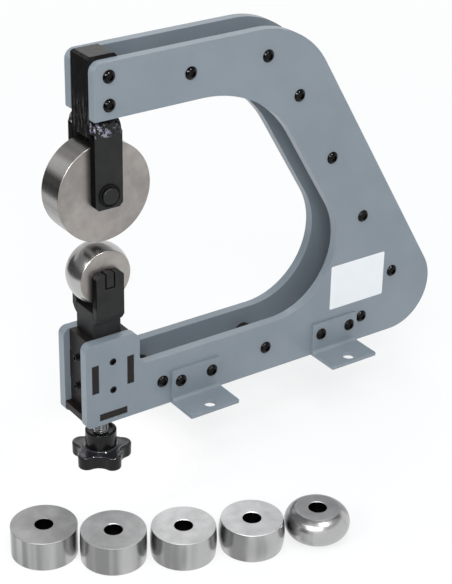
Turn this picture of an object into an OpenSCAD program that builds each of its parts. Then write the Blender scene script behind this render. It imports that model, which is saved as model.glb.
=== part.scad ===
// Bench-top english wheel: a C-frame of two side plates carries a plain upper wheel in a welded fork.
// A square post below it holds the crowned anvil and is raised by a screw with a star knob.
// +X runs from the wheels to the back of the frame and +Y across the plates. The origin is the centre
// of the four bench bolt holes, at the underside of the feet.

/* [Side plates] */
// Height of the side plates
plate_h = 300; // [280:1:330]
// Overall length of the side plates, from the front of the guide box to the back corner
plate_l = 347; // [330:1:400]
// Thickness of each side plate
plate_t = 8; // [6:0.5:10]
// Gap between the two side plates, which the head block fills
plate_gap = 26; // [24:0.5:30]
// Height of the upper arm
upper_arm_h = 44; // [40:1:50]
// Height of the lower arm
lower_arm_h = 44; // [40:1:50]
// Front end of the upper arm, behind the front of the guide box
upper_arm_x = 12; // [8:0.5:12]
// Width of the raking web, square to its edges
web_w = 55; // [48:1:64]
// Lean of the web from upright, in degrees
rake = 30.5; // [27:0.5:33]
// Radius of the top back corner
top_back_r = 75; // [60:1:85]
// Radius of the low back corner
low_back_r = 40; // [34:1:44]
// Radius of the upper bend of the throat
throat_top_r = 100; // [85:1:105]
// Radius of the lower bend of the throat
throat_low_r = 61; // [52:1:68]
// Radius of the top front corner of the upper arm
arm_nose_r = 8; // [3:0.5:12]

/* [Guide box] */
// Drop that the box leaves to the post, from the ears' welds to the top of the box
box_drop = 12; // [12:0.5:16]
// Radius of the front top corner of the box
box_front_r = 6; // [2:0.5:8]
// Radius of the back top corner of the box
box_back_r = 8; // [2:0.5:10]
// Radius of the fillet between the box and the lower arm
box_fillet_r = 8; // [4:0.5:12]
// Radius of the bottom front corner
toe_r = 4; // [1:0.5:6]
// Thickness of the three guide plates
guide_t = 6; // [4:0.5:7]
// Setback of the front guide plate from the front of the box
guide_setback = 5.5; // [4:0.5:7]
// Height of the bottom guide plate over the underside of the frame
bottom_guide_z = 4; // [3:0.5:6]
// Height of the middle of the upright tabs over the middle of the box
tab_rise = 5.5; // [4:0.5:7]
// Length of the upright tabs
tab_l = 25; // [20:0.5:28]
// Play of a tab in its slot, on each side
tab_play = 0.2; // [0.1:0.05:0.4]
// Step of the tab ends behind the outer faces of the plates
tab_step = 0.5; // [0.2:0.1:1.5]

/* [Lift post] */
// Play between the post and the guide box, on each side
post_play = 0.5; // [0.4:0.05:0.7]
// Gap between the bottom guide plate and the foot of the post
post_rise = 14.5; // [12.5:0.5:18]
// Depth of the screw's seat in the foot of the post
seat_depth = 15.5; // [10:0.5:20]
// Drop from the anvil to the top of the post
post_drop = 2.5; // [1.5:0.5:4]
// Thickness of the two ears
ear_t = 6; // [5:0.5:7]
// Height of the ears
ear_h = 38; // [36:0.5:42]
// Overlap of the ears on the post
ear_lap = 4.5; // [3.5:0.5:6]
// Chamfer of the top corners of the ears
ear_chamfer = 3; // [1:0.5:5]
// Leg of the fillet welds
weld_leg = 6; // [4:0.5:6]
// Diameter of the anvil axle
lower_axle_d = 14; // [12:0.5:16]
// Width of the flats at both ends of the anvil axle
axle_flats = 7.4; // [6:0.2:9]
// Depth of the flat underside of those ends below the middle of the axle
axle_seat = 5.8; // [5:0.1:5.8]
// Play of the axle's ends in the ear slots, on each side and below
slot_play = 0.2; // [0.05:0.05:0.3]

/* [Wheels] */
// Diameter of the upper wheel
wheel_d = 80; // [72:1:84]
// Diameter of the upper axle
upper_axle_d = 13; // [12:0.5:18]
// Diameter of every anvil
anvil_d = 50; // [46:1:51]
// Gap between the upper wheel and the anvil as drawn
work_gap = 6.5; // [6.3:0.1:8]
// Crown radius of the anvil in the machine
crown_r = 25; // [20:1:200]
// Side play of a wheel in its fork, on each side
side_play = 0.5; // [0.35:0.05:0.8]
// Radial running clearance of the axles and the lift screw
running = 0.05; // [0.02:0.01:0.09]
// Chamfer of the upper wheel's rims
rim_chamfer = 0.8; // [0.3:0.1:1.5]
// Chamfer of the anvils' rims
anvil_chamfer = 0.4; // [0.2:0.1:1]

/* [Spare anvils] */
// Crown radius of the second spare, while the first is flat
spare_2_crown = 160; // [120:5:200]
// Crown radius of the third spare
spare_3_crown = 80; // [60:5:110]
// Crown radius of the fourth spare
spare_4_crown = 45; // [30:1:55]
// Crown radius of the fifth spare
spare_5_crown = 12.5; // [12.5:0.5:20]
// Distance between the centres of neighbouring spares
spare_pitch = 52; // [51.5:0.5:70]

/* [Head block and fork] */
// Length of the head block along the machine
block_l = 24; // [20:0.5:24.5]
// Rise of the head block above the plates
block_rise = 2.5; // [1:0.5:6]
// Chamfer round the top of the head block
block_chamfer = 1.8; // [0.5:0.1:3]
// Drop from the underside of the upper arm to the tops of the fork arms
neck = 11; // [8:0.5:14]
// Gap between the upper wheel and the head block
headroom = 5; // [3:0.5:6]
// Overlap of the fork arms on the head block
fork_lap = 4.5; // [3.5:0.5:6]
// Thickness of the fork arms
fork_t = 6; // [5:0.5:7]
// Width of the fork arms
fork_w = 24; // [20:0.5:25]
// Length of the fork arms below the axle
fork_end = 11; // [10:0.5:14]
// Chamfer of the bottom corners of the fork arms
fork_chamfer = 3; // [1:0.5:4]
// Gap between the fork welds and the underside of the upper arm
weld_gap = 1.5; // [1:0.5:3]
// Depth of the circlip grooves in the upper axle
groove_deep = 0.5; // [0.3:0.05:0.8]
// Thickness of the axle's circlips
clip_t = 1.1; // [0.8:0.1:1.5]
// Width of a circlip's ring
clip_w = 3; // [1.8:0.1:3]
// Radius of a circlip's two lugs
lug_r = 1.6; // [1.4:0.1:2.2]
// Radius of the plier holes in the lugs
lug_hole_r = 0.6; // [0.5:0.05:0.9]
// Length of the upper axle past its circlips
axle_end = 2; // [1:0.1:3]

/* [Lift screw and knob] */
// Diameter of the lift screw
screw_d = 12; // [10:0.5:13]
// Diameter over the lobes of the star knob
knob_d = 50; // [46:1:54]
// Number of lobes
lobes = 5; // [5:1:6]
// Radius of each lobe
lobe_r = 7; // [6:0.5:7.5]
// Radius from the axis to the valleys between the lobes
valley_at = 17.2; // [16.6:0.1:17.4]
// Height of the star
star_h = 12; // [10:0.5:14]
// Rounding of the lobe tips
star_edge_r = 1.5; // [0.5:0.1:3]
// Turn of the first lobe about the screw, in degrees
star_turn = 54.6; // [0:0.1:72]
// Diameter of the knob's hub
hub_d = 25.5; // [22:0.5:27]
// Height of the hub above the star
hub_h = 15.5; // [12:0.5:18]
// Chamfer of the hub's top
hub_chamfer = 0.8; // [0.3:0.1:1.5]
// Wall of the hub round its recessed top
hub_wall = 3; // [2:0.1:4]
// Depth of the recess in the hub's top
hub_recess = 1.2; // [0.5:0.1:3]
// Depth of the star's underside below the frame
knob_drop = 45; // [43:0.5:50]
// Depth of the screw in the knob
screw_in_knob = 20; // [16:0.5:24]

/* [Feet] */
// Width of a foot along the machine
foot_w = 46.5; // [44:0.5:48]
// Height of a foot
foot_h = 29; // [28:0.5:32]
// Reach of a foot from the side plate
foot_out = 31; // [30:0.5:36]
// Thickness of the feet
foot_t = 3; // [2:0.5:4]
// Radius inside the bend of a foot
foot_r = 3; // [1:0.5:5]
// Radius of the outer corners of a foot
foot_corner_r = 1; // [0.5:0.5:5]
// Centre of the front feet, behind the front of the box
foot_x = 101; // [100:0.5:103]
// Centre of the rear feet, ahead of the back of the frame
rear_foot_in = 104; // [103:0.5:106]
// Diameter of the bench bolt hole in a foot
bench_hole_d = 10; // [8:0.5:11]
// Distance of the bench bolt hole from the side plate
bench_hole_out = 22.5; // [20:0.5:23.5]
// Distance between the two screws of a foot
foot_screw_pitch = 30; // [27:0.5:32]
// Height of the foot screws
foot_screw_z = 19.3; // [17:0.1:21]

/* [Screws and standoffs] */
// Diameter of the frame, foot and set screws
bolt_d = 6; // [5:0.5:6]
// Play of a screw in its clearance hole, on each side
bolt_play = 0.3; // [0.1:0.05:0.4]
// Diameter of a screw's button head
head_d = 10.5; // [9.5:0.5:11]
// Height of a screw's button head
head_h = 3.3; // [2.5:0.1:4]
// Width across the flats of a hex socket
socket_w = 4; // [3:0.5:4]
// Depth of a hex socket
socket_deep = 2; // [1.5:0.1:2.4]
// Reach of a frame screw into its standoff or the head block
bolt_grip = 8; // [6:0.5:10]
// Distance between the two screws of the head block
head_pitch = 22; // [18:0.5:24]
// Diameter of the standoffs
standoff_d = 16; // [12:0.5:18]
// Distance between neighbouring standoffs in the upper arm and the web
web_pitch = 70.5; // [68:0.5:71]
// Distance of the web standoffs from the throat edge
web_bolt_in = 21.6; // [18:0.1:24]
// Height of the lowest web standoff
web_bolt_z = 57.5; // [54:0.5:62]
// First standoff of the lower arm, behind the front of the box
low_bolt_x = 70.3; // [69:0.1:71]
// Last standoff of the lower arm, ahead of the back of the frame
low_bolt_in = 73.7; // [72:0.1:75]
// Drop of the middle of the set screws below the middle of the tabs
set_drop = 0.85; // [0:0.05:2]
// Distance between the lower and the upper set screws
set_pitch = 25.3; // [23:0.1:27]
// Gap between the post and the tips of the set screws and the lift screw
tip_gap = 0.3; // [0.2:0.05:0.35]
// Length of a front set screw that stands out of its plate
set_out = 3.5; // [1:0.5:4]

/* [Hidden] */
$fn = 96;
cut = 1; // how far a cutter runs past the face that it opens
end_chamfer = 0.5; // on the ends of the turned bars
clip_turn = -6; // of the circlips' mouths from straight down
lug_turn = 12; // of each lug from the middle of its circlip's mouth
mouth = 8; // opening angle of a circlip's mouth
weld_flatness = 1.5; // distance to the middle of a weld's dome, over the width of its face

// Stations along the machine
post_w = plate_gap - 2 * post_play;
guide_back = guide_setback + guide_t;
post_x = guide_back + post_play + post_w / 2;
rear_guide_x = post_x + post_w / 2 + post_play;
box_l = 2 * post_x;

// Faces across the machine, from its middle plane
inner_y = plate_gap / 2;
outer_y = inner_y + plate_t;
fork_y = inner_y + fork_t;
ear_y = post_w / 2 + ear_t;
clip_y = fork_y + running;

// Heights, which come down from the upper arm to the wheels, the post and the box
throat_roof = plate_h - upper_arm_h;
fork_top = throat_roof - neck;
block_z = fork_top - fork_lap;
wheel_z = block_z - headroom - wheel_d / 2;
anvil_z = wheel_z - wheel_d / 2 - work_gap - anvil_d / 2;
post_top = anvil_z - anvil_d / 2 - post_drop;
ear_z = post_top - ear_lap;
box_h = ear_z - weld_leg - box_drop;
guide_floor = bottom_guide_z + guide_t;
post_z = guide_floor + post_rise;
screw_tip_z = post_z + seat_depth;
tab_mid_z = box_h / 2 + tab_rise;
tab_z = tab_mid_z - tab_l / 2;
star_z = -knob_drop;
hub_z = star_z + star_h;
hub_top = hub_z + hub_h;

// Widths of the wheels
wheel_w = plate_gap - 2 * side_play;
anvil_w = post_w - 2 * side_play;

// The side plate's bends lie against its straight edges. A raking edge is given by its distance from
// the origin along web_out, and edge_centre finds the centre of a bend that lies against it.
function edge_centre(edge, r, z) = [(edge - r - z * sin(rake)) / cos(rake), z];
web_out = [cos(rake), sin(rake)];
web_down = [sin(rake), -cos(rake)];
low_back_c = [plate_l - low_back_r, low_back_r];
back_edge = low_back_c * web_out + low_back_r;
throat_edge = back_edge - web_w;
top_back_c = edge_centre(back_edge, top_back_r, plate_h - top_back_r);
throat_top_c = edge_centre(throat_edge, throat_top_r, throat_roof - throat_top_r);
throat_low_c = edge_centre(throat_edge, throat_low_r, lower_arm_h + throat_low_r);

// Screw and standoff centres on the side plate, as [x, z]
upper_row_z = plate_h - upper_arm_h / 2;
web_row = throat_edge + web_bolt_in;
web_run = (web_row * sin(rake) - web_bolt_z) / cos(rake);
head_spots = [for (side = [-1, 1]) [post_x, upper_row_z + side * head_pitch / 2]];
standoff_spots = concat(
    [for (k = [1, 2]) [post_x + k * web_pitch, upper_row_z]],
    [for (k = [0:3]) web_row * web_out + (web_run - k * web_pitch) * web_down],
    [for (k = [0:2]) [low_bolt_x + k * (plate_l - low_bolt_in - low_bolt_x) / 2, lower_arm_h / 2]]
);
frame_spots = concat(head_spots, standoff_spots);
foot_centres = [foot_x, plate_l - rear_foot_in];
foot_screw_spots = [
    for (x = foot_centres) for (side = [-1, 1]) [x + side * foot_screw_pitch / 2, foot_screw_z]
];
set_spots = [for (side = [-1, 1]) [post_x, tab_mid_z - set_drop + side * set_pitch / 2]];

// Spare anvils stand in a curved row beside the machine, level with the underside of the knob.
// Each turn is the direction from one spare to the next.
spare_turns = [-40.5, -27.5, -22.5, -18];
spare_first = [-76, -86];
function spare_spot(k) = k == 0 ? spare_first
    : spare_spot(k - 1) + spare_pitch * [cos(spare_turns[k - 1]), sin(spare_turns[k - 1])];

painted = [0.52, 0.56, 0.60];
blackened = [0.16, 0.16, 0.17];
zinc = [0.72, 0.73, 0.74];
steel = [0.66, 0.65, 0.64];
plastic = [0.08, 0.08, 0.09];

// Flat shapes on the side of the machine

// Square corner less its quarter circle, to be cut away at a corner that is turned to face turn
module corner_cut(at, turn, r) {
    translate(at) rotate(turn) difference() {
        translate([-cut, -cut]) square(r + cut);
        translate([r, r]) circle(r);
    }
}

module outer_shape() {
    inside_z = (lower_arm_h + throat_roof) / 2;
    polygon([
        [0, 0],
        [low_back_c.x, 0],
        low_back_c + low_back_r * web_out,
        top_back_c + top_back_r * web_out,
        [top_back_c.x, plate_h],
        [upper_arm_x, plate_h],
        [upper_arm_x, inside_z],
        [0, inside_z]
    ]);
    translate(low_back_c) circle(low_back_r);
    translate(top_back_c) circle(top_back_r);
}

module throat_shape() {
    polygon([
        [-cut, lower_arm_h],
        [throat_low_c.x, lower_arm_h],
        throat_low_c + throat_low_r * web_out,
        throat_top_c + throat_top_r * web_out,
        [throat_top_c.x, throat_roof],
        [-cut, throat_roof]
    ]);
    translate(throat_low_c) circle(throat_low_r);
    translate(throat_top_c) circle(throat_top_r);
}

module box_shape() {
    difference() {
        square([box_l, box_h]);
        corner_cut([0, box_h], 270, box_front_r);
        corner_cut([box_l, box_h], 180, box_back_r);
    }
    translate([box_l, lower_arm_h]) difference() {
        translate([-cut, -cut]) square(box_fillet_r + cut);
        translate([box_fillet_r, box_fillet_r]) circle(box_fillet_r);
    }
}

module slot_shapes() {
    for (x = [guide_setback, rear_guide_x])
        translate([x - tab_play, tab_z - tab_play]) square([guide_t + 2 * tab_play, tab_l + 2 * tab_play]);
    translate([post_x - post_w / 2 - tab_play, bottom_guide_z - tab_play])
        square([post_w + 2 * tab_play, guide_t + 2 * tab_play]);
}

module hole_shapes() {
    for (at = frame_spots) translate(at) circle(d = bolt_d + 2 * bolt_play);
    for (at = concat(foot_screw_spots, set_spots)) translate(at) circle(d = bolt_d + 2 * running);
}

module side_shape() {
    difference() {
        union() {
            difference() {
                outer_shape();
                throat_shape();
            }
            box_shape();
        }
        corner_cut([upper_arm_x, plate_h], 270, arm_nose_r);
        corner_cut([0, 0], 0, toe_r);
        slot_shapes();
        hole_shapes();
    }
}

// Stands a flat [x, z] shape up, from y = back towards the near side
module upright(back, thick) {
    translate([0, back, 0]) rotate([90, 0, 0]) linear_extrude(thick) children();
}

module far_side() {
    mirror([0, 1, 0]) children();
}

// Pieces are drawn with x from the front of the guide box. This puts the middle of the feet at x = 0.
module centred() {
    translate([-(foot_centres[0] + foot_centres[1]) / 2, 0, 0]) children();
}

module near_side_plate() {
    color(painted) centred() upright(-inner_y, plate_t) side_shape();
}

module far_side_plate() {
    color(painted) centred() upright(outer_y, plate_t) side_shape();
}

// Screws. A button screw stands on z = 0 with its head up, and its shank reaches down.

module hex_socket(deep) {
    translate([0, 0, -deep]) cylinder(d = socket_w / cos(30), h = deep + cut, $fn = 6);
}

module button_screw(reach) {
    dome_r = (pow(head_d / 2, 2) + pow(head_h, 2)) / (2 * head_h);
    difference() {
        union() {
            rotate_extrude() intersection() {
                square([head_d / 2, head_h]);
                translate([0, head_h - dome_r]) circle(dome_r);
            }
            translate([0, 0, -reach]) cylinder(d = bolt_d, h = reach + cut);
        }
        translate([0, 0, head_h]) hex_socket(socket_deep);
    }
}

module near_screws(spots, seat_y, reach) {
    for (at = spots) translate([at.x, -seat_y, at.y]) rotate([90, 0, 0]) button_screw(reach);
}

module near_frame_screws() {
    color(blackened) centred() near_screws(frame_spots, outer_y, plate_t + bolt_grip);
}

module far_frame_screws() {
    color(blackened) centred() far_side() near_screws(frame_spots, outer_y, plate_t + bolt_grip);
}

module near_foot_screws() {
    color(blackened) centred() near_screws(foot_screw_spots, outer_y + foot_t, foot_t + plate_t - tab_step);
}

module far_foot_screws() {
    color(blackened) centred() far_side()
        near_screws(foot_screw_spots, outer_y + foot_t, foot_t + plate_t - tab_step);
}

// A set screw's socket end is at z = 0, and its tip reaches down
module set_screw(l) {
    difference() {
        translate([0, 0, -l]) cylinder(d = bolt_d, h = l);
        hex_socket(socket_deep);
    }
}

module side_set_screws() {
    tip_y = post_w / 2 + tip_gap;
    for (at = set_spots) translate([at.x, -outer_y, at.y]) rotate([90, 0, 0]) set_screw(outer_y - tip_y);
}

module near_set_screws() {
    color(blackened) centred() side_set_screws();
}

module far_set_screws() {
    color(blackened) centred() far_side() side_set_screws();
}

module front_set_screws() {
    tip_x = post_x - post_w / 2 - tip_gap;
    end_x = guide_setback - set_out;
    color(blackened) centred() for (at = set_spots)
        translate([end_x, 0, at.y]) rotate([0, -90, 0]) set_screw(tip_x - end_x);
}

module standoffs() {
    color(blackened) centred() for (at = standoff_spots) translate([at.x, inner_y, at.y]) rotate([90, 0, 0])
        difference() {
            cylinder(d = standoff_d, h = plate_gap);
            translate([0, 0, -cut]) cylinder(d = bolt_d + 2 * running, h = plate_gap + 2 * cut);
        }
}

// Feet. The bend of a foot is drawn in its [y, z] section, with y out from the near side plate.

module foot_section() {
    difference() {
        union() {
            square([foot_t, foot_h]);
            square([foot_out, foot_t]);
            translate([foot_t, foot_t]) square(foot_r);
        }
        translate([foot_t + foot_r, foot_t + foot_r]) circle(foot_r);
    }
}

module foot_plan() {
    difference() {
        translate([-foot_w / 2, 0]) square([foot_w, foot_out]);
        corner_cut([foot_w / 2, foot_out], 180, foot_corner_r);
        corner_cut([-foot_w / 2, foot_out], 270, foot_corner_r);
        translate([0, bench_hole_out]) circle(d = bench_hole_d);
    }
}

module near_foot(x) {
    color(painted) centred() translate([x, -outer_y, 0]) mirror([0, 1, 0]) difference() {
        intersection() {
            translate([-foot_w / 2, 0, 0]) rotate([90, 0, 90]) linear_extrude(foot_w) foot_section();
            linear_extrude(foot_h) foot_plan();
        }
        for (side = [-1, 1]) translate([side * foot_screw_pitch / 2, -cut, foot_screw_z])
            rotate([-90, 0, 0]) cylinder(d = bolt_d + 2 * bolt_play, h = foot_t + 2 * cut);
    }
}

module near_front_foot() {
    near_foot(foot_centres[0]);
}

module near_rear_foot() {
    near_foot(foot_centres[1]);
}

module far_front_foot() {
    far_side() near_foot(foot_centres[0]);
}

module far_rear_foot() {
    far_side() near_foot(foot_centres[1]);
}

// Guide plates of the box, tabbed into the side plates

module upright_guide(x) {
    translate([x, -inner_y, guide_floor]) cube([guide_t, plate_gap, box_h - guide_floor]);
    translate([x, -outer_y + tab_step, tab_z]) cube([guide_t, 2 * (outer_y - tab_step), tab_l]);
}

module front_guide_plate() {
    color(blackened) centred() difference() {
        upright_guide(guide_setback);
        for (at = set_spots) translate([guide_setback - cut, 0, at.y])
            rotate([0, 90, 0]) cylinder(d = bolt_d + 2 * running, h = guide_t + 2 * cut);
    }
}

module rear_guide_plate() {
    color(blackened) centred() upright_guide(rear_guide_x);
}

module bottom_guide_plate() {
    color(blackened) centred() difference() {
        union() {
            translate([0, -inner_y, bottom_guide_z]) cube([rear_guide_x + guide_t, plate_gap, guide_t]);
            translate([post_x - post_w / 2, -outer_y + tab_step, bottom_guide_z])
                cube([post_w, 2 * (outer_y - tab_step), guide_t]);
        }
        translate([post_x, 0, bottom_guide_z - cut])
            cylinder(d = screw_d + 2 * running, h = guide_t + 2 * cut);
    }
}

// Head block, fork and upper wheel

module chamfered_top(w, h) {
    polygon([
        [-w / 2, 0], [w / 2, 0], [w / 2, h - block_chamfer], [w / 2 - block_chamfer, h],
        [block_chamfer - w / 2, h], [-w / 2, h - block_chamfer]
    ]);
}

module head_block() {
    block_h = plate_h + block_rise - block_z;
    color(blackened) centred() difference() {
        translate([post_x, 0, block_z]) intersection() {
            upright(inner_y, plate_gap) chamfered_top(block_l, block_h);
            translate([-block_l / 2, 0, 0]) rotate([90, 0, 90])
                linear_extrude(block_l) chamfered_top(plate_gap, block_h);
        }
        for (at = head_spots) translate([at.x, inner_y + cut, at.y]) rotate([90, 0, 0])
            cylinder(d = bolt_d + 2 * running, h = plate_gap + 2 * cut);
    }
}

module near_fork_arm() {
    low = wheel_z - fork_end;
    half = fork_w / 2;
    color(blackened) centred() upright(-inner_y, fork_t) translate([post_x, 0]) difference() {
        polygon([
            [-half, fork_top], [-half, low + fork_chamfer], [fork_chamfer - half, low],
            [half - fork_chamfer, low], [half, low + fork_chamfer], [half, fork_top]
        ]);
        translate([0, wheel_z]) circle(d = upper_axle_d + 2 * running);
    }
}

module far_fork_arm() {
    far_side() near_fork_arm();
}

// Section of a fillet weld in the corner of two faces that lie along +x and +y, a little domed
module weld_section(rise) {
    middle = [weld_leg, rise] / 2;
    dome_c = middle - weld_flatness * [rise, weld_leg];
    intersection() {
        square([weld_leg, rise]);
        translate(dome_c) circle(norm(dome_c - [weld_leg, 0]));
    }
}

module weld(l, rise) {
    translate([-l / 2, 0, 0]) rotate([90, 0, 90]) linear_extrude(l) weld_section(rise);
}

module fork_welds() {
    color(blackened) centred() for (side = [0, 1]) mirror([0, side, 0])
        translate([post_x, inner_y, fork_top]) weld(block_l, neck - weld_gap);
}

// Half of a round bar's section with a groove near each end
module grooved_section(r, half, groove_at, groove_w) {
    half_points = [
        [r, groove_at], [r - groove_deep, groove_at], [r - groove_deep, groove_at + groove_w],
        [r, groove_at + groove_w], [r, half - end_chamfer], [r - end_chamfer, half], [0, half]
    ];
    mirrored = [for (k = [len(half_points) - 1:-1:0]) [half_points[k].x, -half_points[k].y]];
    polygon(concat(half_points, mirrored));
}

module upper_axle() {
    groove_w = clip_t + 2 * running;
    half = fork_y + groove_w + axle_end;
    color(zinc) centred() translate([post_x, 0, wheel_z]) rotate([90, 0, 0]) rotate_extrude()
        grooved_section(upper_axle_d / 2, half, fork_y, groove_w);
}

// An external circlip with its opening towards -z and two lugs with plier holes
module circlip_shape() {
    bore_r = upper_axle_d / 2 - groove_deep + running;
    ring_r = bore_r + clip_w;
    lug_at = bore_r + lug_r;
    difference() {
        union() {
            circle(ring_r);
            for (side = [-1, 1]) rotate(side * lug_turn) translate([0, -lug_at]) circle(lug_r);
        }
        circle(bore_r);
        polygon([[0, 0], for (side = [-1, 1]) 2 * ring_r * [side * sin(mouth / 2), -cos(mouth / 2)]]);
        for (side = [-1, 1]) rotate(side * lug_turn) translate([0, -lug_at]) circle(lug_hole_r);
    }
}

module near_circlip() {
    translate([post_x, -clip_y, wheel_z]) rotate([90, 0, 0]) linear_extrude(clip_t)
        rotate(clip_turn) circlip_shape();
}

module axle_circlips() {
    color(blackened) centred() {
        near_circlip();
        far_side() near_circlip();
    }
}

// Section of a wheel to one side of its axis: the rim is flat, or an arc when crown is over 0
module wheel_section(d, w, bore_d, crown, chamfer) {
    intersection() {
        polygon([
            [bore_d / 2, -w / 2], [d / 2 - chamfer, -w / 2], [d / 2, -w / 2 + chamfer],
            [d / 2, w / 2 - chamfer], [d / 2 - chamfer, w / 2], [bore_d / 2, w / 2]
        ]);
        union() {
            if (crown < d / 2) translate([0, -w / 2]) square([d / 2 - crown, w]);
            if (crown > 0) translate([d / 2 - crown, 0]) circle(crown, $fn = 180);
        }
    }
}

module upper_wheel() {
    color(steel) centred() translate([post_x, 0, wheel_z]) rotate([90, 0, 0]) rotate_extrude()
        wheel_section(wheel_d, wheel_w, upper_axle_d + 2 * running, 0, rim_chamfer);
}

module anvil(crown) {
    rotate_extrude() wheel_section(anvil_d, anvil_w, lower_axle_d + 2 * running, crown, anvil_chamfer);
}

module working_anvil() {
    color(steel) centred() translate([post_x, 0, anvil_z]) rotate([90, 0, 0]) anvil(crown_r);
}

module spare_anvil(k, crown) {
    spot = spare_spot(k);
    color(steel) centred() translate([spot.x, spot.y, star_z + anvil_w / 2]) anvil(crown);
}

module spare_anvil_flat() {
    spare_anvil(0, 0);
}

module spare_anvil_2() {
    spare_anvil(1, spare_2_crown);
}

module spare_anvil_3() {
    spare_anvil(2, spare_3_crown);
}

module spare_anvil_4() {
    spare_anvil(3, spare_4_crown);
}

module spare_anvil_5() {
    spare_anvil(4, spare_5_crown);
}

// Lift post with its two ears and the anvil axle, whose flat-sided ends drop into their open slots

module lift_post() {
    color(blackened) centred() difference() {
        translate([post_x - post_w / 2, -post_w / 2, post_z]) cube([post_w, post_w, post_top - post_z]);
        translate([post_x, 0, post_z - cut])
            cylinder(d = screw_d + 2 * running, h = seat_depth + tip_gap + cut);
    }
}

module near_ear() {
    slot_w = axle_flats + 2 * slot_play;
    slot_z = anvil_z - axle_seat - slot_play;
    color(blackened) centred() upright(-post_w / 2, ear_t) translate([post_x, 0]) difference() {
        polygon([
            [-post_w / 2, ear_z], [post_w / 2, ear_z],
            [post_w / 2, ear_z + ear_h - ear_chamfer], [post_w / 2 - ear_chamfer, ear_z + ear_h],
            [ear_chamfer - post_w / 2, ear_z + ear_h], [-post_w / 2, ear_z + ear_h - ear_chamfer]
        ]);
        translate([-slot_w / 2, slot_z]) square([slot_w, ear_z + ear_h - slot_z + cut]);
    }
}

module far_ear() {
    far_side() near_ear();
}

module ear_welds() {
    color(blackened) centred() for (side = [0, 1]) mirror([0, side, 0])
        translate([post_x, post_w / 2, ear_z]) mirror([0, 0, 1]) weld(post_w, weld_leg);
}

module lower_axle() {
    color(blackened) centred() translate([post_x, 0, anvil_z]) rotate([90, 0, 0]) {
        cylinder(d = lower_axle_d, h = post_w - side_play, center = true);
        intersection() {
            cylinder(d = lower_axle_d, h = 2 * ear_y, center = true);
            translate([-axle_flats / 2, -axle_seat, -ear_y])
                cube([axle_flats, axle_seat + lower_axle_d / 2 + cut, 2 * ear_y]);
        }
    }
}

// Lift screw and star knob

module lift_screw() {
    low = hub_top - screw_in_knob;
    r = screw_d / 2;
    color(zinc) centred() translate([post_x, 0, 0]) rotate_extrude() polygon([
        [0, low], [r, low], [r, screw_tip_z - 2 * end_chamfer], [r - 2 * end_chamfer, screw_tip_z],
        [0, screw_tip_z]
    ]);
}

// Lobes joined by valleys that run smoothly into them
module star_shape() {
    lobe_at = knob_d / 2 - lobe_r;
    step = 360 / lobes;
    reach = lobe_at * cos(step / 2);
    valley_r = (pow(lobe_r, 2) - pow(lobe_at, 2) - pow(valley_at, 2) + 2 * valley_at * reach)
        / (2 * (valley_at - reach - lobe_r));
    valley_c = valley_at + valley_r;
    difference() {
        union() {
            polygon([
                for (k = [0:2 * lobes - 1]) let (at = k % 2 == 0 ? lobe_at : valley_c)
                    at * [cos(k * step / 2), sin(k * step / 2)]
            ]);
            for (k = [0:lobes - 1]) rotate(k * step) translate([lobe_at, 0]) circle(lobe_r);
        }
        for (k = [0:lobes - 1]) rotate((k + 0.5) * step) translate([valley_c, 0]) circle(valley_r);
    }
}

// Half section of the star's outer limit, with its lobe tips rounded
module star_limit() {
    r = knob_d / 2;
    e = star_edge_r;
    square([r - e, star_h]);
    translate([0, e]) square([r, star_h - 2 * e]);
    for (z = [e, star_h - e]) translate([r - e, z]) circle(e);
}

// Half section of the hub, recessed round the screw, with its foot sunk into the star
module hub_section() {
    r = hub_d / 2;
    polygon([
        [0, -cut], [r, -cut], [r, hub_h - hub_chamfer], [r - hub_chamfer, hub_h], [r - hub_wall, hub_h],
        [r - hub_wall, hub_h - hub_recess], [0, hub_h - hub_recess]
    ]);
}

module star_knob() {
    color(plastic) centred() translate([post_x, 0, 0]) difference() {
        union() {
            translate([0, 0, star_z]) intersection() {
                rotate(star_turn) linear_extrude(star_h) star_shape();
                rotate_extrude() star_limit();
            }
            translate([0, 0, hub_z]) rotate_extrude() hub_section();
        }
        translate([0, 0, hub_top - screw_in_knob])
            cylinder(d = screw_d + 2 * running, h = screw_in_knob + cut);
    }
}

near_side_plate();
far_side_plate();
head_block();
near_fork_arm();
far_fork_arm();
fork_welds();
upper_axle();
axle_circlips();
upper_wheel();
standoffs();
near_frame_screws();
far_frame_screws();
near_front_foot();
near_rear_foot();
far_front_foot();
far_rear_foot();
near_foot_screws();
far_foot_screws();
front_guide_plate();
rear_guide_plate();
bottom_guide_plate();
near_set_screws();
far_set_screws();
front_set_screws();
lift_post();
near_ear();
far_ear();
ear_welds();
lower_axle();
working_anvil();
lift_screw();
star_knob();
spare_anvil_flat();
spare_anvil_2();
spare_anvil_3();
spare_anvil_4();
spare_anvil_5();
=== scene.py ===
"""Looks of the bench-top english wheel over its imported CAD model.

The plates, bars, feet, axles and circlips are copies of their CAD nodes with rounded edges. The
wheel, the anvils, the weld beads, the lift screw, the star knob, the screws and the blank label
are surfaces worked out with numpy. Lengths are in metres, in the CAD's frame, except where a
docstring or comment says mm.
"""

from math import cos, pi, radians, sin

import bmesh
import bpy
import numpy as np
from mathutils import Matrix


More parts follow.
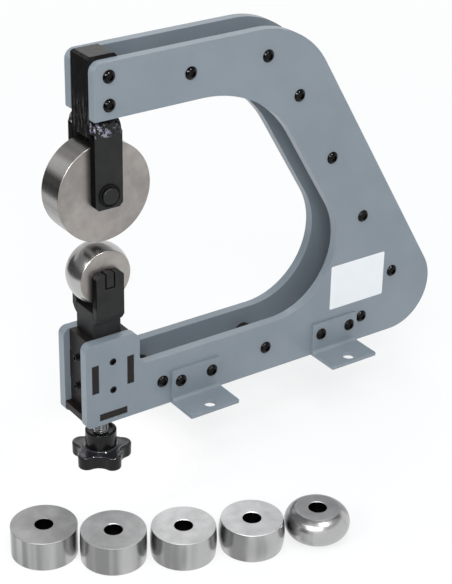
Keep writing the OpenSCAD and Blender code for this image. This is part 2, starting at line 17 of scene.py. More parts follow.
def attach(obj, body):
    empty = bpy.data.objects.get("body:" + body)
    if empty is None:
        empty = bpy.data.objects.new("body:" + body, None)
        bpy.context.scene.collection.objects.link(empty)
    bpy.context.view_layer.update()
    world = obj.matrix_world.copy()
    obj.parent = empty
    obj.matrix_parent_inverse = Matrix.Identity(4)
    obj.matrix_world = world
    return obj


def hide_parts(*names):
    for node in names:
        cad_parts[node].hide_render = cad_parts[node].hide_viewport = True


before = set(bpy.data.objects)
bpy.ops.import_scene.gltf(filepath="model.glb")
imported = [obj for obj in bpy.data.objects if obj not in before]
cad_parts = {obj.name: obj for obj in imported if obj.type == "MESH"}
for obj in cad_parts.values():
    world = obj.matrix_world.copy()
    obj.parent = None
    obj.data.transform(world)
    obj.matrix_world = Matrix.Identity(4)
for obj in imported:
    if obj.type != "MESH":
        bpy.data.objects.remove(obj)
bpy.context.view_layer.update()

MM = 0.001
POST_X = -147.5 * MM                      # the line on which the post and both wheels stand
WHEEL_Z, ANVIL_Z = 195.5 * MM, 124 * MM   # heights of the two axles
BENCH_Z = -45 * MM                        # the level under the spare anvils
WHEEL_RADIUS, WHEEL_WIDTH, WHEEL_BORE = 40 * MM, 25 * MM, 6.55 * MM
ANVIL_RADIUS, ANVIL_WIDTH, ANVIL_BORE = 25 * MM, 24 * MM, 7.05 * MM


# Camera and lamps

def axes_at(place, right, up, back):
    """The matrix of a thing at a place, whose own axes are right, up and back."""
    return Matrix.Translation(place) @ Matrix(np.stack([right, up, back], 1).tolist()).to_4x4()


def camera_at(place, azimuth, elevation, roll, lens):
    """The photograph's camera: its back looks from azimuth and elevation, then it is rolled."""
    a, e, r = radians(azimuth), radians(elevation), radians(roll)
    back = np.array([sin(a) * cos(e), -cos(a) * cos(e), sin(e)])
    level = np.array([cos(a), sin(a), 0.0])
    up = np.cross(back, level)
    right, top = level * cos(r) + up * sin(r), up * cos(r) - level * sin(r)
    camera = bpy.data.objects.new("camera", bpy.data.cameras.new("camera"))
    camera.matrix_world = axes_at(place, right, top, back)
    camera.data.sensor_width = 36
    camera.data.lens = lens
    camera.data.clip_start, camera.data.clip_end = 0.05, 30
    bpy.context.scene.collection.objects.link(camera)
    bpy.context.scene.camera = camera


def area_lamp(name, place, aim, size, power, sparks=False):
    """A square studio lamp, turned to face the point aim. One for sparks shows in gloss alone."""
    lamp = bpy.data.lights.new(name, "AREA")
    lamp.size, lamp.energy = size, power
    holder = bpy.data.objects.new(name, lamp)
    holder.visible_diffuse = not sparks
    back = np.array(place, float) - np.array(aim, float)
    back /= np.linalg.norm(back)
    right = np.cross([0, 0, 1], back)
    right /= np.linalg.norm(right)
    holder.matrix_world = axes_at(place, right, np.cross(back, right), back)
    bpy.context.scene.collection.objects.link(holder)


camera_at(place=(-0.730496, -0.997832, 0.711551), azimuth=-35.196, elevation=27.635, roll=1.164,
          lens=103.828)
area_lamp("key_lamp", (-1.2, -1.8, 1.9), (0, 0, 0.12), size=1.3, power=30)
area_lamp("left_lamp", (-1.7, -0.3, 1.25), (0, 0, 0.15), size=0.6, power=9)
area_lamp("back_lamp", (0.6, 1.2, 2.0), (0, 0, 0.15), size=1.0, power=8)
area_lamp("top_lamp", (-0.1, -0.5, 2.3), (0, 0, 0.15), size=1.0, power=11)
area_lamp("left_spark", (-1.3, -0.9, 1.1), (-0.1, 0, 0.15), size=0.2, power=24, sparks=True)
area_lamp("top_spark", (0.1, -1.0, 1.7), (0, 0, 0.15), size=0.2, power=20, sparks=True)
bpy.context.scene.view_settings.view_transform = "Standard"


# Shader maths

class Value:
    """A number on a socket. Arithmetic on it adds the Math node that works it out."""

    def __init__(self, nodes, socket):
        self.nodes, self.socket = nodes, socket

    def __add__(self, other):
        return self.nodes.math("ADD", self, other)

    def __radd__(self, other):
        return self.nodes.math("ADD", other, self)

    def __sub__(self, other):
        return self.nodes.math("SUBTRACT", self, other)

    def __rsub__(self, other):
        return self.nodes.math("SUBTRACT", other, self)

    def __mul__(self, other):
        return self.nodes.math("MULTIPLY", self, other)

    def __rmul__(self, other):
        return self.nodes.math("MULTIPLY", other, self)

    def __pow__(self, other):
        return self.nodes.math("POWER", self, other)

    def __abs__(self):
        return self.nodes.math("ABSOLUTE", self)

    def __gt__(self, other):
        return self.nodes.math("GREATER_THAN", self, other)

    def __lt__(self, other):
        return self.nodes.math("LESS_THAN", self, other)

    def ramp(self, low, high, start=0.0, end=1.0):
        """Goes smoothly from start to end while this value goes from low to high."""
        node = self.nodes.add("ShaderNodeMapRange", {"interpolation_type": "SMOOTHSTEP"}, {
            "Value": self, "From Min": low, "From Max": high, "To Min": start, "To Max": end})
        return Value(self.nodes, node.outputs["Result"])


class Nodes:
    """A node tree in the making: its nodes come from add(), and its numbers are Values."""

    def __init__(self, tree):
        self.tree = tree

    def add(self, kind, settings=None, sockets=None):
        """Adds a node of a type, gives it its settings, then the values or links of its sockets."""
        node = self.tree.nodes.new(kind)
        for name, value in (settings or {}).items():
            setattr(node, name, value)
        for name, value in (sockets or {}).items():
            self.feed(node, name, value)
        return node

    def feed(self, node, name, value):
        """Puts a number, a colour or a link on a node's socket."""
        socket = node.inputs[name]
        if isinstance(value, Value):
            value = value.socket
        if isinstance(value, bpy.types.NodeSocket):
            self.tree.links.new(value, socket)
        elif isinstance(value, tuple) and len(value) == 3 and len(socket.default_value) == 4:
            socket.default_value = (*value, 1)
        else:
            socket.default_value = value

    def math(self, operation, *values):
        """The Value that a Math node makes of one or two others."""
        node = self.add("ShaderNodeMath", {"operation": operation}, dict(enumerate(values)))
        return Value(self, node.outputs[0])

    def blend(self, factor, first, second):
        """The shader between first and second by a factor."""
        return self.add("ShaderNodeMixShader", {}, {0: factor, 1: first, 2: second}).outputs[0]

    def show(self, surface):
        """Puts a shader on the tree's output."""
        end = next(node for node in self.tree.nodes if "Surface" in node.inputs)
        self.feed(end, "Surface", surface)


class Finish(Nodes):
    """A material in the making. Its main shader's constants are set when it is begun."""

    def __init__(self, name, **constants):
        self.material = bpy.data.materials.new(name)
        self.material.use_nodes = True
        super().__init__(self.material.node_tree)
        self.shader = self.tree.nodes["Principled BSDF"]
        self.set(**constants)

    def set(self, **sockets):
        """Sets the main shader's sockets, named with _ for each space."""
        for name, value in sockets.items():
            name = "Specular_IOR_Level" if name == "Specular" else name
            self.feed(self.shader, name.replace("_", " "), value)

    def place(self):
        """The point's place on the object, as the vector itself and its three numbers."""
        where = self.add("ShaderNodeTexCoord").outputs["Object"]
        parts = self.add("ShaderNodeSeparateXYZ", {}, {0: where})
        return where, *(Value(self, parts.outputs[axis]) for axis in "XYZ")

    def noise(self, vector, scale, detail=2.0, rough=0.5, stretch=(1, 1, 1)):
        """Noise between 0 and 1 at a place, stretched along an axis by a smaller number there."""
        spread = self.add("ShaderNodeVectorMath", {"operation": "MULTIPLY"},
                          {0: vector, 1: stretch}).outputs[0]
        node = self.add("ShaderNodeTexNoise", {}, {
            "Vector": spread, "Scale": scale, "Detail": detail, "Roughness": rough})
        return Value(self, node.outputs["Fac"])

    def lines(self, along, scale, detail=3.0, rough=0.6):
        """Noise that changes with one number alone, as tool marks do."""
        node = self.add("ShaderNodeTexNoise", {"noise_dimensions": "1D"}, {
            "W": along, "Scale": scale, "Detail": detail, "Roughness": rough})
        return Value(self, node.outputs["Fac"])

    def mix(self, factor, low, high):
        """The colour between low and high by a factor."""
        node = self.add("ShaderNodeMix", {"data_type": "RGBA"}, {"Factor": factor})
        for name, colour in (("A", low), ("B", high)):
            socket = next(s for s in node.inputs if s.name == name and s.type == "RGBA")
            if isinstance(colour, bpy.types.NodeSocket):
                self.tree.links.new(colour, socket)
            else:
                socket.default_value = (*colour, 1)
        return next(s for s in node.outputs if s.type == "RGBA")

    def relief(self, height, depth, strength=1.0):
        """Raises the surface by a height between 0 and 1 times a depth in metres."""
        node = self.add("ShaderNodeBump", {}, {
            "Height": height, "Distance": depth, "Strength": strength})
        self.set(Normal=node.outputs[0])


def away(a, b):
    """How far a point is from an axis: the root of the sum of its two offsets' squares."""
    return (a * a + b * b) ** 0.5


def times(colour, factor):
    """A colour times one number, or times another colour."""
    return tuple(np.multiply(colour, factor).tolist())


# World and floor

def white_to_camera(nodes, plain, white, share=1.0):
    """Mixes a plain shader with a white one: camera, glossy and transmission rays see the share of
    white, and the light on the object comes from the plain one."""
    rays = nodes.add("ShaderNodeLightPath")
    camera, glossy, through = (Value(nodes, rays.outputs[f"Is {ray} Ray"])
                               for ray in ("Camera", "Glossy", "Transmission"))
    seen = nodes.math("MAXIMUM", nodes.math("MAXIMUM", camera, glossy), through)
    return nodes.blend(seen * share, plain, white)


def light_the_room(strength):
    """A white room: it shows as white and lights the object at a plain level."""
    world = bpy.data.worlds.new("white_room")
    world.use_nodes = True
    nodes = Nodes(world.node_tree)
    soft = nodes.tree.nodes["Background"]
    nodes.feed(soft, "Color", (0.87, 0.94, 1))
    nodes.feed(soft, "Strength", strength)
    white = nodes.add("ShaderNodeBackground", {}, {"Color": (1, 1, 1)})
    nodes.show(white_to_camera(nodes, soft.outputs[0], white.outputs[0]))
    bpy.context.scene.world = world


def lay_floor(radius, corners=96):
    """A round pale floor under the spare anvils. It keeps a soft shadow and fades to white. It is
    clear round the knob, which hangs past the edge of a bench and sinks as the post comes down."""
    turn = np.linspace(0, 2 * pi, corners, endpoint=False)
    rim = radius * np.stack([np.cos(turn), np.sin(turn), 0 * turn], 1)
    mesh = bpy.data.meshes.new("floor")
    mesh.from_pydata((rim + [0, 0, BENCH_Z - 0.1 * MM]).tolist(), [], [list(range(corners))])
    floor = bpy.data.objects.new("floor", mesh)
    bpy.context.scene.collection.objects.link(floor)
    pale = Finish("pale_floor", Base_Color=(0.9, 0.9, 0.9), Roughness=0.9, Specular=0.0)
    _, x, y, _ = pale.place()
    glow = pale.add("ShaderNodeEmission", {}, {"Color": (1, 1, 1), "Strength": 1.0})
    fade = away(x, y).ramp(0.45, 1.6, 0.76, 1.0)
    surface = white_to_camera(pale, pale.shader.outputs[0], glow.outputs[0], fade)
    clear = pale.add("ShaderNodeBsdfTransparent")
    past_knob = away(x - POST_X, y).ramp(50 * MM, 105 * MM)
    pale.show(pale.blend(past_knob, clear.outputs[0], surface))
    mesh.materials.append(pale.material)


light_the_room(0.57)
lay_floor(6)


# Finishes

def painted(name):
    """Grey-blue powder coat: a fine orange peel, faint clouds and a few darker nibs."""
    coat = Finish(name, Specular=0.4, Coat_Weight=0.3, Coat_Roughness=0.14)
    where, *_ = coat.place()
    clouds = coat.noise(where, 22, 3)
    peel = coat.noise(where, 950, 2, 0.55)
    nibs = coat.noise(where, 2600, 1).ramp(0.70, 0.80)
    tone = coat.mix(clouds.ramp(0.3, 0.7), (0.200, 0.233, 0.264), (0.222, 0.255, 0.286))
    coat.set(Base_Color=coat.mix(nibs * 0.25, tone, (0.12, 0.14, 0.17)),
             Roughness=0.36 + 0.10 * clouds + 0.08 * peel)
    coat.relief(peel + 0.5 * nibs, 0.04 * MM, 0.6)
    return coat.material


def black_steel(name, cast=(1, 1, 1), front=None, gap_shaded=False):
    """Satin black bar: fine mottling, long faint draw marks and slightly browner rubbed patches.
    The face towards the front, at x = front, is painted near black as shade. With the gap-shade
    switch on, painted shade also draws dark lines in the gaps beside the anvil axle's flats, 3.8 mm
    to each side of its middle, and under them, and the painted front shade stops just above the
    post's top."""
    bar = Finish(name, Specular=0.25)
    where, x, _, z = bar.place()
    patches = bar.noise(where, 90, 4, 0.6)
    grain = bar.noise(where, 1500, 3, 0.6)
    marks = bar.noise(where, 700, 2, 0.5, (1, 1, 0.06))
    tone = bar.mix(patches.ramp(0.35, 0.7), times((0.0090, 0.0092, 0.0096), cast),
                   times((0.0150, 0.0148, 0.0146), cast))
    # painted shade: the face towards the front turns near black
    painted_shade = x.ramp(front + 0.1 * MM, front + 0.6 * MM, 1, 0) if front else 0
    if gap_shaded:
        # painted shade: dark lines in the slot gaps beside and under the anvil axle's flats
        flat_side, slot_foot, shade_foot = 3.8 * MM, ANVIL_Z - 5.9 * MM, 98 * MM
        beside = abs(x - POST_X)
        sides = abs(beside - flat_side).ramp(0.45 * MM, 0.85 * MM, 1, 0)
        foot = abs(z - slot_foot).ramp(0.35 * MM, 0.7 * MM, 1, 0) * (beside < 4 * MM)
        front_shade = painted_shade * z.ramp(shade_foot, shade_foot + 8 * MM)
        painted_shade = (front_shade + sides * (z > slot_foot - 0.4 * MM) + foot).ramp(0, 1)
    if front:
        # painted shade: a near black colour, made metallic so that it stays dark
        tone = bar.mix(painted_shade, tone, (0.002, 0.002, 0.002))
        bar.set(Metallic=painted_shade)
    bar.set(Base_Color=tone, Roughness=0.34 + 0.16 * patches + 0.10 * grain + 0.15 * painted_shade)
    bar.relief(grain * 0.6 + marks * 0.5 + patches, 0.06 * MM, 0.55)
    return bar.material


def gloss_black(name, drag, depth, shine, level, painted_sheen=None):
    """Glossy black paint, run into smears along the direction in which drag is small, with pits.
    Where a painted sheen is given as a scale, a colour and the heights it fades out over, paler
    spots of painted highlight and reflection break it up, fewer behind the post's middle than in
    front of it."""
    gloss = Finish(name, Specular=level)
    where, x, _, z = gloss.place()
    smears = gloss.noise(where, 260, 3, 0.6, drag)
    pits = gloss.noise(where, 1300, 2)
    tone = gloss.mix(smears, (0.0022, 0.0022, 0.0026), (0.0065, 0.0062, 0.0072))
    if painted_sheen:
        scale, colour, low, high = painted_sheen
        front = x.ramp(POST_X - 5 * MM, POST_X + 5 * MM, 1, 0.35)
        spots = (gloss.noise(where, scale, 3, 0.6, drag) + 0.08 * front).ramp(0.58, 0.68)
        # painted highlights and reflections: paler spots in the given colour
        sheen_mask = spots * front * z.ramp(low, high, 1, 0.1)
        tone = gloss.mix(sheen_mask, tone, colour)
    gloss.set(Base_Color=tone, Roughness=shine + 0.12 * pits * smears)
    gloss.relief(smears + 0.1 * pits, depth, 0.8)
    return gloss.material


def black_oxide(name):
    """Black oxide on small steel parts, with the red-brown cast it has under a lamp."""
    oxide = Finish(name, Specular=0.16)
    where, *_ = oxide.place()
    cast = oxide.noise(where, 160, 2)
    grain = oxide.noise(where, 2400, 2)
    tone = oxide.mix(cast.ramp(0.4, 0.65), (0.0008, 0.0008, 0.0012), (0.0050, 0.0024, 0.0026))
    oxide.set(Base_Color=tone, Roughness=0.05 + 0.05 * grain + 0.04 * cast)
    oxide.relief(grain, 0.006 * MM, 0.5)
    return oxide.material


def round_place(finish, centre, axis):
    """The point's place, its distance from a wheel's axis, and its place along that axis."""
    where, *parts = finish.place()
    offsets = [part - middle for part, middle in zip(parts, centre)]
    along = offsets.pop(axis)
    return where, away(*offsets), along


def turned(name, centre, axis, width, face, rim, face_rough, rim_rough=0.20, reflection_banding=0.8):
    """Turned steel: rings on the flat sides, lines round the rim, soft clouds, a few stains and a
    bore painted dark as shade. Soft light and dark bands across the rim are painted reflections, by
    a share."""
    steel = Finish(name, Metallic=1.0)
    where, across, along = round_place(steel, centre, axis)
    on_side = abs(along).ramp(width / 2 - 0.6 * MM, width / 2 - 0.2 * MM)
    marks = steel.lines(across, 5200) * on_side + steel.lines(along, 5200) * (1 - on_side)
    clouds = 0.6 * steel.noise(where, 26, 3, 0.5) + 0.4 * steel.noise(where, 110, 4, 0.6)
    stains = steel.noise(where, 130, 5, 0.7).ramp(0.62, 0.8)
    side_tone = steel.mix(clouds.ramp(0.35, 0.65), times(face, 0.78), times(face, 1.06))
    squash = tuple(0.04 if k == axis else 1 for k in range(3))
    # painted reflections: light and dark bands across the rim
    painted_reflection_bands = 0.5 + (steel.noise(where, 62, 2, 0.5, squash).ramp(0.40, 0.60) - 0.5) * reflection_banding
    tone = steel.mix(on_side, steel.mix(painted_reflection_bands, times(rim, 0.6), times(rim, 1.35)), side_tone)
    # painted shade: the inside of the bore is dark
    bore_shade = (across < 7.4 * MM) * (1 - on_side)
    tone = steel.mix(bore_shade, tone, (0.035, 0.034, 0.033))
    steel.set(Base_Color=steel.mix(stains * 0.3, tone, (0.15, 0.138, 0.13)),
              Roughness=(face_rough * on_side + rim_rough * (1 - on_side)
                         + 0.10 * marks + 0.08 * stains))
    steel.relief(marks, 0.006 * MM, 0.5)
    return steel.material


def zinc(name):
    """Bright zinc plate on a thread, its roots painted dark as shade."""
    plate = Finish(name, Metallic=1.0)
    where, across, along = round_place(plate, (POST_X, 0, 0), 2)
    crest = across.ramp(5.0 * MM, 5.9 * MM)
    grime = plate.noise(where, 350, 3)
    # painted shade: dark in the thread's roots, bright on its crests
    tone = plate.mix(crest * (0.7 + 0.5 * grime), (0.16, 0.16, 0.165), (0.78, 0.79, 0.79))
    plate.set(Base_Color=tone, Roughness=0.16 + 0.2 * grime)
    plate.relief(grime, 0.02 * MM, 0.5)
    return plate.material


def moulded(name):
    """Glossy black moulded plastic with a slight sink and flow ripple. The top of the star, 33 mm
    below the bench, is polished to a coat and painted a little lighter as a sheen."""
    plastic = Finish(name, Specular=0.26, Coat_Roughness=0.07)
    where, _, _, z = plastic.place()
    flow = plastic.noise(where, 60, 2, 0.5)
    fine = plastic.noise(where, 1400, 2)
    top = -33 * MM
    on_star = (z.ramp(top - 1.0 * MM, top - 0.3 * MM)
               * z.ramp(top + 0.3 * MM, top + 1.4 * MM, 1, 0))
    tone = plastic.mix(fine.ramp(0.6, 0.8), (0.0036, 0.0036, 0.0042), (0.0090, 0.0090, 0.0100))
    # painted sheen: the top of the star is a little lighter in colour
    plastic.set(Base_Color=plastic.mix(on_star, tone, (0.018, 0.018, 0.022)),
                Coat_Weight=on_star, Roughness=0.15 + 0.08 * flow + 0.05 * fine)
    plastic.relief(flow + 0.05 * fine, 0.15 * MM, 0.5)
    return plastic.material


def sticker_white(name):
    """White satin film, with the faintest unevenness of its glue."""
    film = Finish(name, Specular=0.45)
    where, *_ = film.place()
    glue = film.noise(where, 120, 3)
    film.set(Base_Color=film.mix(glue, (0.80, 0.81, 0.82), (0.85, 0.855, 0.86)),
             Roughness=0.32 + 0.08 * glue)
    film.relief(glue, 0.04 * MM, 0.4)
    return film.material


# Pieces and meshes

def shown(name, mesh, body, material, stands_for=()):
    """Puts a finished mesh in the scene as a piece that rides on a body."""
    piece = bpy.data.objects.new(name, mesh)
    bpy.context.scene.collection.objects.link(piece)
    mesh.materials.clear()
    mesh.materials.append(material)
    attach(piece, body)
    if stands_for:
        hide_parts(*stands_for)
    return piece


def softened(name, node, radius, material, body, segments=3):
    """A copy of a CAD node with its facets joined into whole faces and its sharp edges rounded."""
    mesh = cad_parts[node].data.copy()
    mesh.name = name
    work = bmesh.new()
    work.from_mesh(mesh)
    bmesh.ops.remove_doubles(work, verts=work.verts, dist=2e-6)
    bmesh.ops.dissolve_limit(work, angle_limit=radians(0.4), verts=work.verts, edges=work.edges)
    work.to_mesh(mesh)
    work.free()
    mesh.shade_smooth()
    mesh.set_sharp_from_angle(angle=radians(35))
    piece = shown(name, mesh, body, material, (node,))
    bevel = piece.modifiers.new("rounded_edges", "BEVEL")
    bevel.width, bevel.segments = radius, segments
    bevel.limit_method, bevel.angle_limit = "ANGLE", radians(35)
    bevel.harden_normals = True
    bevel.use_clamp_overlap = True
    bevel.miter_outer = "MITER_ARC"


def sheet_of(name, points, sharp=40, wrap_rows=False, wrap_columns=True):
    """A mesh over a grid of points, shaped (rows, columns, 3). Each cell is one face; a wrapped
    side joins its last line to its first. Points that fall together, as at a pole, become one,
    the faces turn outwards, and edges past the angle sharp stay sharp."""
    rows, columns = points.shape[:2]
    index = np.arange(rows * columns).reshape(rows, columns)
    if wrap_rows:
        index = np.vstack([index, index[:1]])
    if wrap_columns:
        index = np.hstack([index, index[:, :1]])
    faces = np.stack([index[:-1, :-1], index[:-1, 1:], index[1:, 1:], index[1:, :-1]], -1)
    mesh = bpy.data.meshes.new(name)
    mesh.from_pydata(points.reshape(-1, 3).tolist(), [], faces.reshape(-1, 4).tolist())
    work = bmesh.new()
    work.from_mesh(mesh)
    bmesh.ops.remove_doubles(work, verts=work.verts, dist=2e-7)
    bmesh.ops.recalc_face_normals(work, faces=work.faces)
    work.to_mesh(mesh)
    work.free()
    mesh.shade_smooth()
    mesh.set_sharp_from_angle(angle=radians(sharp))
    return mesh


def joined(name, meshes, sharp):
    """One mesh out of several, with its edges past the angle kept sharp."""
    work = bmesh.new()
    for mesh in meshes:
        work.from_mesh(mesh)
    whole = bpy.data.meshes.new(name)
    work.to_mesh(whole)
    work.free()
    whole.shade_smooth()
    whole.set_sharp_from_angle(angle=radians(sharp))
    for mesh in meshes:
        bpy.data.meshes.remove(mesh)
    return whole


# Surfaces

def round_axis(radius, turn, height):
    """Points at (radius cos turn, radius sin turn, height), one row for each height."""
    return np.stack([radius * np.cos(turn), radius * np.sin(turn), height + 0 * radius], -1)


def rounded(corners, radius, steps=4):
    """A closed outline with every corner rounded: each corner is replaced by an arc that touches
    both its sides, and a point beside each end of the arc holds the flat parts flat. Returns
    (n, 2) points."""
    corners = np.asarray(corners, float)
    before = np.roll(corners, 1, 0) - corners
    after = np.roll(corners, -1, 0) - corners
    shorter = np.minimum(np.linalg.norm(before, axis=1), np.linalg.norm(after, axis=1))
    before /= np.linalg.norm(before, axis=1)[:, None]
    after /= np.linalg.norm(after, axis=1)[:, None]
    half = np.arccos(np.clip((before * after).sum(1), -1, 1))[:, None] / 2
    radius = np.broadcast_to(np.asarray(radius, float).reshape(-1, 1), half.shape)
    reach = np.minimum(radius / np.tan(half), shorter[:, None] * 0.45)
    middle = before + after
    length = np.linalg.norm(middle, axis=1)[:, None]
    middle = np.where(length > 1e-9, middle / np.maximum(length, 1e-9), 0)
    centre = (corners + middle * reach / np.cos(half))[:, None]
    start, end = corners + before * reach, corners + after * reach
    t = np.linspace(0, 1, steps + 1)[None, :, None]
    chord = start[:, None] * (1 - t) + end[:, None] * t - centre
    span = np.maximum(np.linalg.norm(chord, axis=2, keepdims=True), 1e-12)
    arcs = centre + chord / span * (reach * np.tan(half))[:, None]
    first, last = start + before * 0.3 * reach, end + after * 0.3 * reach
    return np.concatenate([first[:, None], arcs, last[:, None]], 1).reshape(-1, 2)


def lathed(name, profile, centre, axis, turns):
    """A closed profile of (radius, place along the axis) points, carried round the axis."""
    turn = np.linspace(0, 2 * pi, turns, endpoint=False)
    radius, along = profile[:, :1], profile[:, 1:] + 0 * turn
    parts = [radius * np.cos(turn), radius * np.sin(turn)]
    parts.insert(axis, along)
    return sheet_of(name, np.stack(parts, -1) + np.asarray(centre), sharp=25, wrap_rows=True)


def wheel_outline(radius, width, bore, crown, edge):
    """Half of a wheel's section: bore, two flat sides and a rim, with small flats at the edges. The
    rim is straight, or the arc of a circle with the crown's radius that touches the full radius
    at the middle."""
    half = width / 2
    if not crown:
        corners = [(bore, -half), (radius, -half), (radius, half), (bore, half)]
        return rounded(corners, [edge * 0.6, edge, edge, edge * 0.6], 5)
    along = crown * np.sin(np.linspace(-1, 1, 49) * np.arcsin(min(half / crown, 1)))
    rim = np.stack([radius - crown + np.sqrt(np.maximum(crown ** 2 - along ** 2, 0)), along], 1)
    rim[[0, -1], 0] -= edge * 0.4
    sides = [(bore + edge, -half), (rim[0, 0] - edge, -half)]
    back = [(rim[-1, 0] - edge, half), (bore + edge, half)]
    return np.concatenate([sides, rim, back, [(bore, half - edge), (bore, edge - half)]])


def soft_noise(rows, columns, cells, seed):
    """Smooth noise between -1 and 1: random numbers on a coarse grid of cells, eased in between."""
    coarse = np.random.default_rng(seed).uniform(-1, 1, (cells[0] + 1, cells[1] + 1))
    for axis, count in enumerate((rows, columns)):
        place = np.linspace(0, cells[axis], count)
        low = np.minimum(place.astype(int), cells[axis] - 1)
        part = place - low
        part = part * part * (3 - 2 * part)
        part = part[:, None] if axis == 0 else part
        coarse = np.take(coarse, low, axis) * (1 - part) + np.take(coarse, low + 1, axis) * part
    return coarse


def weld_bead(length, legs, lap, rough, seed, rows=170, around=40):
    """A fillet bead from (0, 0) along x. Its section goes by angle from a little under the edge,
    where it laps over the outer face, round to the upright face; it lies between a straight line
    and an arc from leg to leg. Noise in two sizes and crescents, one every 3.1 mm, that lag at
    the middle swell it by the share rough, and both ends taper over 2.5 mm. Returns points
    (rows + 2, around + 1, 3): along, out, up."""
    out_leg, up_leg = legs
    t = np.linspace(0, 1, rows)[:, None]
    angle = np.linspace(-0.4 if lap else 0, pi / 2, around)[None]
    rise = np.maximum(angle, 0)
    straight = 1 / (np.cos(rise) + np.sin(rise))
    beat = (t * length / (3.1 * MM) - 0.5 * np.sin(2 * rise)) % 1
    swell = 0.9 * soft_noise(rows, around, (7, 3), seed)
    swell += 0.5 * soft_noise(rows, around, (19, 7), seed + 1) + 0.35 * (1 - (2 * beat - 1) ** 2)
    end = np.clip(np.minimum(t, 1 - t) * length / (2.5 * MM), 0, 1)
    taper = np.sqrt(1 - (1 - end) ** 2) * 0.2 + 0.8
    reach = 0.5 * straight + 0.5 + rough * swell * (0.35 + 0.65 * np.sin(2 * rise))
    out = out_leg * taper * reach * np.cos(angle)
    up = np.where(angle < 0, lap * 2.6, up_leg) * taper * reach * np.sin(angle)
    ring = np.stack([np.broadcast_to(t * length, out.shape), out, np.minimum(up, up_leg)], -1)
    inside = ring[:, :1] * [1, 0.8, 1] if lap else ring[:, :0]
    corner = np.stack([t * length, 0 * t, 0 * t], -1)
    body = np.concatenate([corner, inside, ring], 1)
    return np.concatenate([body[:1] * [1, 0, 0], body, body[-1:] * [1, 0, 0]])


def fillet_welds(name, node, body, material, x, wide, out_y, z, legs, rough, lap=0, down=False):
    """Two mirrored beads, one on each side of the machine, in the corner at (out_y, z)."""
    meshes = []
    for side, seed in ((-1, 5), (1, 9)):
        along, out, up = np.moveaxis(weld_bead(wide, legs, lap, rough, seed + 40 * down), -1, 0)
        points = np.stack([along + x, side * (out_y + out), z - up if down else z + up], -1)
        meshes.append(sheet_of(name, points, sharp=75))
    shown(name, joined(name, meshes, 75), body, material, (node,))


def thread(name, radius, pitch, low, high, depth, columns=48, steps=11):
    """A right-hand thread: the radius is a flattened triangle wave of the height less the turn, in
    pitches, from the root to the crest. Its top has a chamfer, and both ends close on the axis."""
    z = np.linspace(low, high, int((high - low) / pitch * steps))[:, None]
    turn = np.linspace(0, 2 * pi, columns, endpoint=False)[None]
    wave = np.abs(2 * ((z / pitch - turn / (2 * pi)) % 1) - 1)
    cut = np.clip(1.35 * wave - 0.12, 0, 1)
    chamfer = np.clip((high - z) / (1.2 * MM), 0, 1)
    r = np.minimum(radius - depth * cut, radius - 1.1 * MM * (1 - chamfer))
    points = round_axis(r, turn, z)
    points = np.concatenate([points[:1] * [0, 0, 1], points, points[-1:] * [0, 0, 1]])
    return sheet_of(name, points + [POST_X, 0, 0], sharp=50)


def ringed(rings, turns=48):
    """Points on rings (share, radius, height) in mm, whose radius is blended by the share from a
    circle to the hexagon round that circle."""
    turn = np.linspace(0, 2 * pi, turns, endpoint=False)
    hexagon = 1 / np.cos((turn + pi / 6) % (pi / 3) - pi / 6)
    share, size, height = (np.array(v)[:, None] for v in zip(*rings))
    return round_axis(size * (1 + share * (hexagon - 1)), turn, height) * MM


def button_screw(reach):
    """A button-head screw on z = 0, head up, from rings in mm: the shank, the flat under the
    head, a dome that is a part of a ball, and a hex socket with a cone at its foot."""
    shank, head, high, mouth, flat, deep = 3, 5.25, 3.3, 2.55, 2, 2
    ball = (head ** 2 + high ** 2) / (2 * high)
    radii = np.linspace(head - 0.04, mouth + 0.1, 10)
    domed = [(0, r, high - ball + (ball ** 2 - r ** 2) ** 0.5) for r in radii]
    top = high - ball + (ball ** 2 - mouth ** 2) ** 0.5
    foot = top - deep
    return ringed([
        (0, 0, -reach), (0, shank - 0.5, -reach), (0, shank, 0.5 - reach), (0, shank, -0.1),
        (0, shank + 0.1, 0), (0, head - 0.3, 0), (0, head, 0.15), *domed,
        (0, mouth - 0.1, top), (0.7, flat + 0.12, top - 0.06), (1, flat, top - 0.22),
        (1, flat, top - 0.5), (1, flat, foot + 0.2), (1, flat - 0.1, foot),
        (0, flat * 0.6, foot - 0.2), (0, 0, foot - 0.8)])


def set_screw(length):
    """A set screw with its socket end at z = 0, from rings in mm: a barrel with a groove in each
    millimetre, chamfered at both ends, and its hex socket."""
    outer, flat, deep = 3, 1.5, 2
    crests = 1.4 - length + np.arange(round(length - 1.8))
    barrel = [(0, outer - cut, crest + z) for crest in crests
              for cut, z in ((0, -0.2), (0.45, 0.3), (0, 0.7)) if crest + z < -0.61]
    return ringed([
        (0, 0, -length), (0, outer - 0.8, -length), (0, outer, 0.8 - length), *barrel,
        (0, outer, -0.6), (0, outer - 0.6, 0), (0, flat * 1.3, 0), (0.8, flat + 0.2, -0.04),
        (1, flat, -0.2), (1, flat, 0.1 - deep), (0, flat * 0.6, -deep), (0, 0, -deep - 0.5)])


def screws(name, node, shape, seats, facing, material):
    """One screw for each seat (x, y and z in mm, turn of the socket), facing -y, +y or -x."""
    meshes = []
    for x, y, z, twist in seats:
        a = radians(twist)
        u = shape[..., 0] * cos(a) - shape[..., 1] * sin(a)
        v = shape[..., 0] * sin(a) + shape[..., 1] * cos(a)
        w = shape[..., 2]
        parts = {"-y": (u, -w, v), "+y": (-u, w, v), "-x": (-w, -u, v)}[facing]
        points = np.stack(parts, -1) + np.array([x, y, z]) * MM
        meshes.append(sheet_of(name, points, sharp=32))
    shown(name, joined(name, meshes, 32), "frame", material, (node,))


